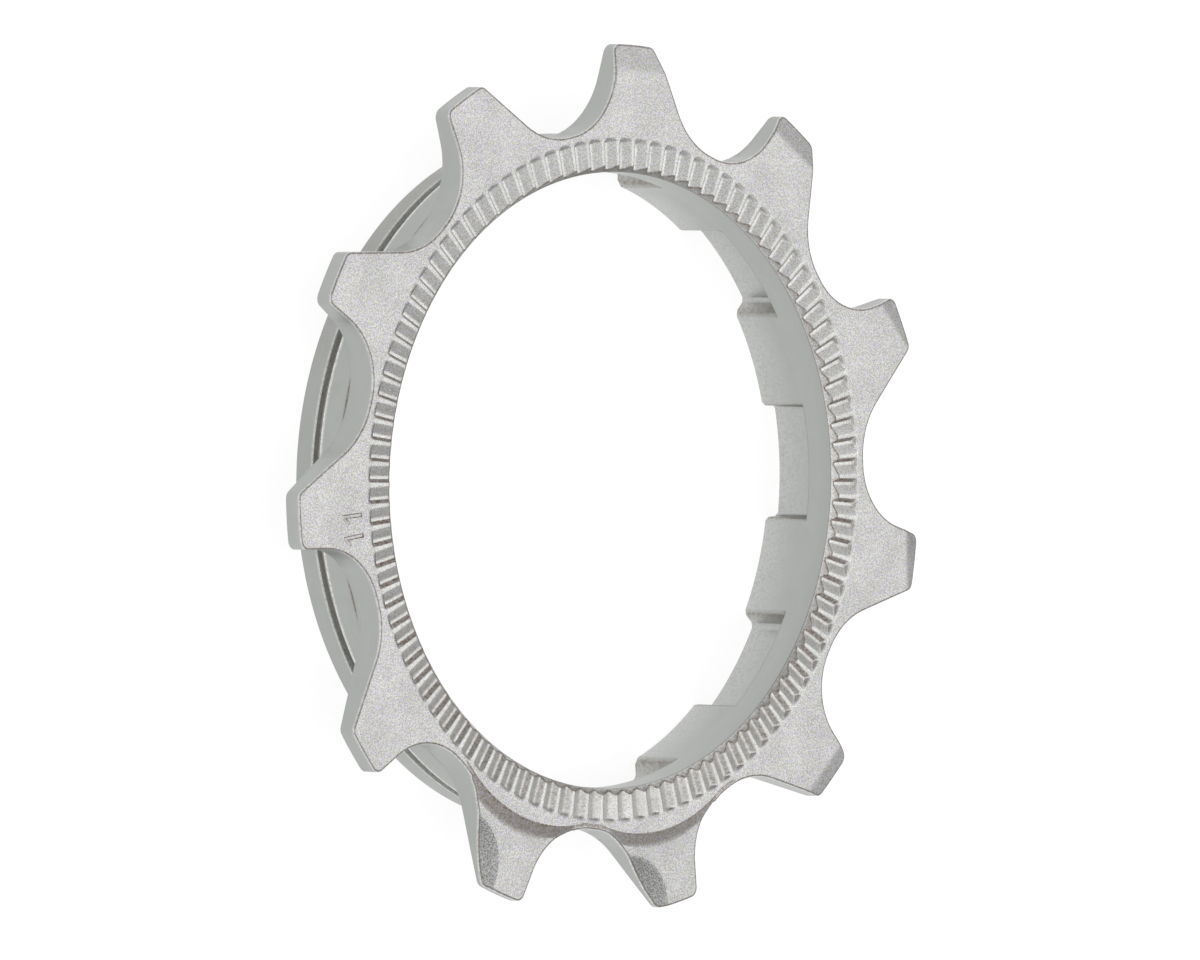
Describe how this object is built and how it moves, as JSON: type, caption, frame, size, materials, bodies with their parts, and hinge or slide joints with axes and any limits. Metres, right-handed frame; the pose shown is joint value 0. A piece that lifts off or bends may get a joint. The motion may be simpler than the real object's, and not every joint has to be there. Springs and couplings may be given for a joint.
{
  "type": "cassette cog",
  "caption": "Small toothed cog for a bicycle cassette: flat plate with uneven flanks, serrated front ring, splined bore and built-in rear spacer.",
  "frame": {"origin": "on the bore's axis, in the plane of the rear face that the cog lies on", "axes": "+Z along the bore's axis, towards the serrated front face; +X through the middle of a tooth gap"},
  "size_m": [0.0461, 0.0464, 0.0054],
  "materials": {
    "steel": "satin plated steel with a bead-blasted front face"
  },
  "bodies": {
    "root": {"cassette_cog": "steel"}
  },
  "joints": []
}
